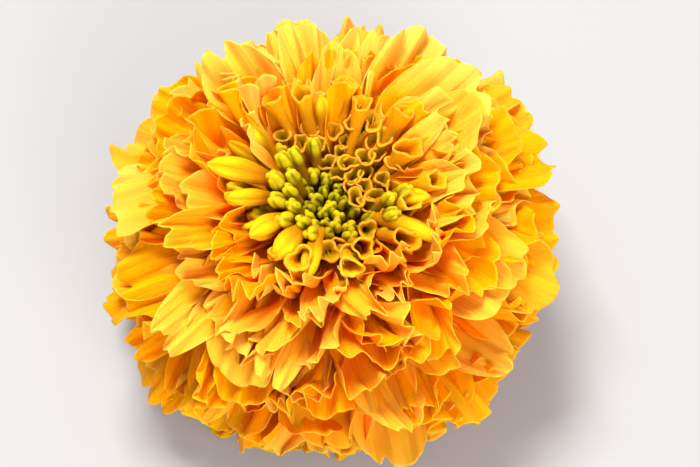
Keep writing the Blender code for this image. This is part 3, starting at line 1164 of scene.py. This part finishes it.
def build_clubs():
    for n, (turn, tip_r, tip_z, arrives, fat, head, lobes) in enumerate(CLUBS):
        chance = np.random.default_rng([SEED, CLUB_KIND, n])
        place = place_from(CLUB_LEVEL, tip_r, tip_z, LEAVES[5], arrives)
        line = spine(math.radians(turn), place, shares=head_rows(36, 14, 16))
        body = bud(line, chance, fat, head, lobes, narrows=0.93, dome=1.2)
        piece = make_piece(f"club_floret_{n + 1:02d}", body, quill_material, 0.72, 0.6)


# Quilled florets between these azimuths, in degrees, are still closed.
CLOSED_FROM = 130
CLOSED_TO = 250


def build_quills():
    """Rolled florets round the disc: the nine of the CAD whorl, and nine between."""
    for n in range(2 * PER_WHORL):
        chance = np.random.default_rng([SEED, QUILL_KIND, n])
        pick = chance.uniform
        if n % 2 == 0:
            name = f"quilled_{n // 2 + 1:02d}"
            azimuth, seat = cad_seats[name]
            place = [*seat, LEAVES[5], ARRIVES[5]]
        else:
            name = None
            azimuth = math.tau * (n / 2 + 0.5) / PER_WHORL + math.radians(pick(-5, 5))
            place = place_at(QUILL_LEVEL)
        place[5] += pick(0, 20)
        lean = math.radians(pick(-6, 6))
        line = spine(azimuth, place, lean=lean, shares=head_rows(36, 12, 16))
        if CLOSED_FROM < math.degrees(azimuth) % 360 < CLOSED_TO:
            fat, head = pick(1.5, 2.0), pick(4.5, 8.0)
            body = bud(line, chance, fat, head, int(chance.choice([2, 3, 4])), narrows=0.75)
            ripe = pick(0.3, 0.6)
        else:
            throat, mouth, depth = pick(0.9, 1.3), pick(1.6, 2.4), pick(4, 8)
            body = trumpet(line, chance, throat, mouth, depth, oblique=pick(0.3, 2.5))
            ripe = pick(0.75, 1.0)
        piece = make_piece(f"quill_{n + 1:02d}", body, quill_material, ripe, pick(-1, 1))
        if name:
            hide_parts(name)


# ---------------- cup and stalk

# The cup starts at this share of its rise, and is widest at its belly. Half widths of ribs and
# grooves are shares of half a bract.
BRACTS = 9
CUP_COLUMNS = 180
CUP_ROWS = 40
CUP_WALL = 0.8
CUP_FROM = 0.045
CUP_BELLY_AT = 0.66
RIB = 0.35
RIB_HALF = 0.14
GROOVE = 0.55
GROOVE_HALF = 0.10
STRIPE = 0.06
STRIPES_PER_BRACT = 10
TOOTH = 3.2
TOOTH_LEANS_OUT = 0.5

# The stalk's cut end stands this far above the table.
STALK_COLUMNS = 64
STALK_ROWS = 14
STALK_WALL = 1.4
STALK_WIDENS = 1.2
STALK_RIBS = 8
STALK_RIB = 0.14
FOOT_CLEAR = 0.06


def build_cup():
    """Nine fused bracts: a rib down each, a groove between, and a pointed tooth on top."""
    low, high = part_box("involucre")
    radius = (high[0] - low[0]) / 2 / MM
    bottom, top = low[2] / MM, high[2] / MM
    turn = around(CUP_COLUMNS)
    rise = np.linspace(CUP_FROM, 1, CUP_ROWS)[:, None]
    across = 2 * np.abs((turn / math.tau * BRACTS) % 1 - 0.5)
    belly = np.sin(np.clip(rise / CUP_BELLY_AT, 0, 1) * math.pi / 2)
    rib = RIB * np.exp(-((across / RIB_HALF) ** 2)) * ramp(rise, 0.0, 0.4)
    groove = GROOVE * np.exp(-(((1 - across) / GROOVE_HALF) ** 2)) * ramp(rise, 0.05, 0.5)
    stripes = STRIPE * np.cos(BRACTS * STRIPES_PER_BRACT * turn) * ramp(rise, 0.1, 0.4)
    reach = (radius - CUP_WALL) * belly + rib - groove + stripes
    tall = top - bottom - TOOTH - CUP_WALL
    height = bottom + CUP_WALL / 2 + tall * (1 - np.cos(rise * math.pi / 2))
    height = height + TOOTH * (1 - across) ** 1.3 * ramp(rise, 0.55, 1.0)
    reach = reach + TOOTH_LEANS_OUT * ramp(rise, 0.85, 1.0) * (1 - across)
    body = tube_shell(turned(reach, turn, height), rise, CUP_WALL)
    piece = make_piece("involucre_bracts", body, cup_material)
    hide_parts("involucre")


def build_stalk():
    """A ribbed, hollow stub, cut square below and wider where it meets the cup."""
    low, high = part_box("flower_stalk")
    top = high[2] / MM
    wide = (high[0] - low[0]) / 2 / MM
    turn = around(STALK_COLUMNS)
    share = np.linspace(0, 1, STALK_ROWS)[:, None]
    ribs = STALK_RIB * np.cos(STALK_RIBS * turn) * (1 - share)
    reach = wide - STALK_WALL / 2 - STALK_WIDENS * (1 - share**2) + ribs
    height = FOOT_CLEAR + (top - FOOT_CLEAR) * share
    body = tube_shell(turned(reach, turn, height), share, STALK_WALL)
    piece = make_piece("stalk_stub", body, stalk_material)
    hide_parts("flower_stalk")


build_rays()
build_standing_out()
build_quills()
build_clubs()
build_fists()
build_disc()

build_cup()
build_stalk()
receptacle_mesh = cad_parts["receptacle"].data
receptacle_mesh.materials.clear()
receptacle_mesh.materials.append(receptacle_material)


# ---------------- floor, light and camera

# In metres, watts and degrees. The lens and the sensor are in millimetres.
FLOOR_HALF = 3
LIGHTS_AIM = (0, 0, 0.03)
WORLD_STRENGTH = 0.57
SENSOR = 36


def make_floor():
    far = FLOOR_HALF
    corners = [(-far, -far, 0), (far, -far, 0), (far, far, 0), (-far, far, 0)]
    mesh = bpy.data.meshes.new("floor")
    mesh.from_pydata(corners, [], [(0, 1, 2, 3)])
    floor = add_object("floor", mesh)
    made, _, shader = new_material("floor_finish")
    shader.inputs["Base Color"].default_value = (0.42, 0.42, 0.43, 1)
    shader.inputs["Roughness"].default_value = 0.85
    mesh.materials.append(made)


def aimed(obj, place, target):
    """Puts a lamp or a camera at a place and turns it to its target."""
    obj.location = place
    obj.rotation_euler = (target - obj.location).to_track_quat("-Z", "Y").to_euler()


def area_light(name, place, size, watts, colour):
    """A square lamp that faces the flower."""
    data = bpy.data.lights.new(name, "AREA")
    data.size = size
    data.energy = watts
    data.color = colour
    aimed(add_object(name, data), Vector(place), Vector(LIGHTS_AIM))


def make_camera(elevation, distance, lens, aim):
    """A camera in front of the flower, at this elevation over the table, that looks at aim."""
    data = bpy.data.cameras.new("camera")
    data.lens = lens
    data.sensor_width = SENSOR
    camera = add_object("camera", data)
    lift = math.radians(elevation)
    away = distance * Vector((0, -math.cos(lift), math.sin(lift)))
    aimed(camera, Vector(aim) + away, Vector(aim))
    bpy.context.scene.camera = camera


make_floor()
area_light("key", (-0.12, 0.25, 0.75), size=0.26, watts=8.2, colour=(1.0, 0.98, 0.93))
area_light("fill", (0.30, -0.62, 0.45), size=0.5, watts=5.4, colour=(1.0, 0.98, 0.95))
world = bpy.data.worlds.new("studio")
world.use_nodes = True
background = world.node_tree.nodes["Background"]
background.inputs["Color"].default_value = (1.0, 1.0, 1.0, 1)
background.inputs["Strength"].default_value = WORLD_STRENGTH
bpy.context.scene.world = world
bpy.context.scene.view_settings.view_transform = "Standard"
make_camera(elevation=64, distance=0.400, lens=104, aim=(0.0038, 0, 0.0318))
